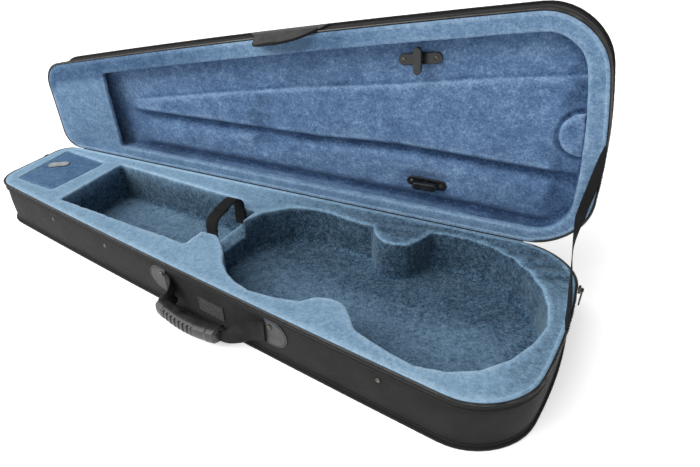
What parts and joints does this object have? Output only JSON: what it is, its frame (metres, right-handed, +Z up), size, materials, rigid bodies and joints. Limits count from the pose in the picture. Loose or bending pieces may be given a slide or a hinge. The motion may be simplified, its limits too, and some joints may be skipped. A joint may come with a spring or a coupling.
{
  "type": "violin case",
  "caption": "Shaped soft violin case standing open, with a plush bed for the instrument, a lid with bow clips, a zip, a swinging handle and a stay ribbon.",
  "frame": {"origin": "on the underside of the base, under the middle of its length and width", "axes": "+X from the narrow end to the wide end along the hinge, +Y from the handle side to the hinge side, +Z up"},
  "size_m": [0.8001, 0.3205, 0.3255],
  "materials": {
    "nylon": "woven nylon over padded board",
    "binding": "ribbed tape",
    "coil": "moulded coil",
    "plush_light": "crushed plush",
    "plush_deep": "crushed plush, deeper blue",
    "webbing": "narrow woven tape",
    "vinyl": "grained imitation leather",
    "hooks": "hook-and-loop pile",
    "grip_plastic": "soft moulded plastic",
    "clip_plastic": "smooth moulded plastic",
    "steel": "dark nickel plate",
    "tab_vinyl": "grey imitation leather"
  },
  "bodies": {
    "base": {"base_shell": "nylon", "base_piping": "binding", "base_zip_tape": "binding", "base_zip_teeth": "coil", "base_hinge_tape": "binding", "bed_floor": "plush_light", "bed_narrow_end": "plush_light", "bed_front": "plush_light", "bed_back": "plush_light", "neck_rest": "plush_light", "neck_anchor_front": "webbing", "neck_anchor_back": "webbing", "handle_patch_left": "vinyl", "handle_patch_right": "vinyl", "handle_rivet_left": "steel", "handle_rivet_right": "steel", "strap_root_left": "webbing", "strap_root_right": "webbing", "hook_patch": "hooks", "wall_rivet_1": "steel", "wall_rivet_2": "steel", "wall_rivet_3": "steel", "stay_ribbon": "webbing"},
    "lid": {"lid_shell": "nylon", "lid_piping": "binding", "lid_zip_tape": "binding", "lid_zip_teeth": "coil", "lid_hinge_tape": "binding", "lid_rim_pad": "plush_light", "lid_panel": "plush_deep", "bow_tip_pocket": "plush_light", "frog_pad": "plush_light", "bow_clip_plate_1": "clip_plastic", "bow_clip_screw_1a": "steel", "bow_clip_screw_1b": "steel", "bow_clip_plate_2": "clip_plastic", "bow_clip_screw_2a": "steel", "bow_clip_screw_2b": "steel", "flap_root": "vinyl"},
    "flap": {"lid_flap": "vinyl"},
    "toggle_1": {"bow_clip_toggle_1": "clip_plastic"},
    "toggle_2": {"bow_clip_toggle_2": "clip_plastic"},
    "box_cover": {"box_lid": "plush_deep"},
    "box_tab": {"box_lid_tab": "tab_vinyl"},
    "strap_front": {"neck_strap_front": "webbing"},
    "strap_back": {"neck_strap_back": "webbing"},
    "handle": {"handle_grip": "grip_plastic", "handle_strap_left": "webbing", "handle_strap_right": "webbing"},
    "slider_narrow": {"zip_slider_narrow": "steel"},
    "puller_narrow": {"zip_puller_narrow": "steel"},
    "slider_wide": {"zip_slider_wide": "steel"},
    "puller_wide": {"zip_puller_wide": "steel"}
  },
  "joints": [
    {"name": "lid_hinge", "type": "hinge", "parent": "base", "child": "lid", "pos_m": [0, 0.0993, 0.063], "axis": [-1, 0, 0], "range_deg": [-93, 0], "deforming": ["stay_ribbon"]},
    {"name": "flap_hinge", "type": "hinge", "parent": "lid", "child": "flap", "pos_m": [0.02421, 0.11441, 0.27488], "axis": [0.9823, 0.0098, 0.1869], "range_deg": [-25, 0]},
    {"name": "clip_turn_1", "type": "hinge", "parent": "lid", "child": "toggle_1", "pos_m": [0.186, 0.13416, 0.25624], "axis": [0, 0.9986, -0.0523], "continuous": true},
    {"name": "clip_turn_2", "type": "hinge", "parent": "lid", "child": "toggle_2", "pos_m": [0.207, 0.12615, 0.10345], "axis": [0, 0.9986, -0.0523], "continuous": true},
    {"name": "box_lid_hinge", "type": "hinge", "parent": "base", "child": "box_cover", "pos_m": [-0.36375, 0.038, 0.062], "axis": [0.0074, -1, 0], "range_deg": [0, 95]},
    {"name": "tab_lift", "type": "hinge", "parent": "box_cover", "child": "box_tab", "pos_m": [-0.35222, 0.03455, 0.0623], "axis": [0.5299, -0.848, 0], "range_deg": [0, 90]},
    {"name": "neck_strap_front_fold", "type": "hinge", "parent": "base", "child": "strap_front", "pos_m": [-0.021, -0.0248, 0.065], "axis": [1, 0, 0], "range_deg": [0, 85]},
    {"name": "neck_strap_back_fold", "type": "hinge", "parent": "base", "child": "strap_back", "pos_m": [-0.021, 0.0388, 0.065], "axis": [-1, 0, 0], "range_deg": [0, 85]},
    {"name": "handle_swing", "type": "hinge", "parent": "base", "child": "handle", "pos_m": [0.03431, -0.11724, 0.038], "axis": [-0.9825, 0.1865, 0], "range_deg": [0, 115]},
    {"name": "slider_narrow_run", "type": "slide", "parent": "base", "child": "slider_narrow", "axis": [-0.0764, -0.9971, 0], "range_m": [0, 0.046]},
    {"name": "puller_narrow_swing", "type": "hinge", "parent": "slider_narrow", "child": "puller_narrow", "pos_m": [-0.38829, 0.06182, 0.0588], "axis": [0.0764, 0.9971, 0], "range_deg": [0, 120]},
    {"name": "slider_wide_run", "type": "slide", "parent": "base", "child": "slider_wide", "axis": [-0.014, -0.9999, 0], "range_m": [0, 0.05]},
    {"name": "puller_wide_swing", "type": "hinge", "parent": "slider_wide", "child": "puller_wide", "pos_m": [0.4089, 0.0375, 0.0588], "axis": [0, -1, 0], "range_deg": [0, 120]}
  ],
  "couplings": [
    {"joint": "flap_hinge", "follows": "lid_hinge", "ratio": 0.2688}
  ]
}
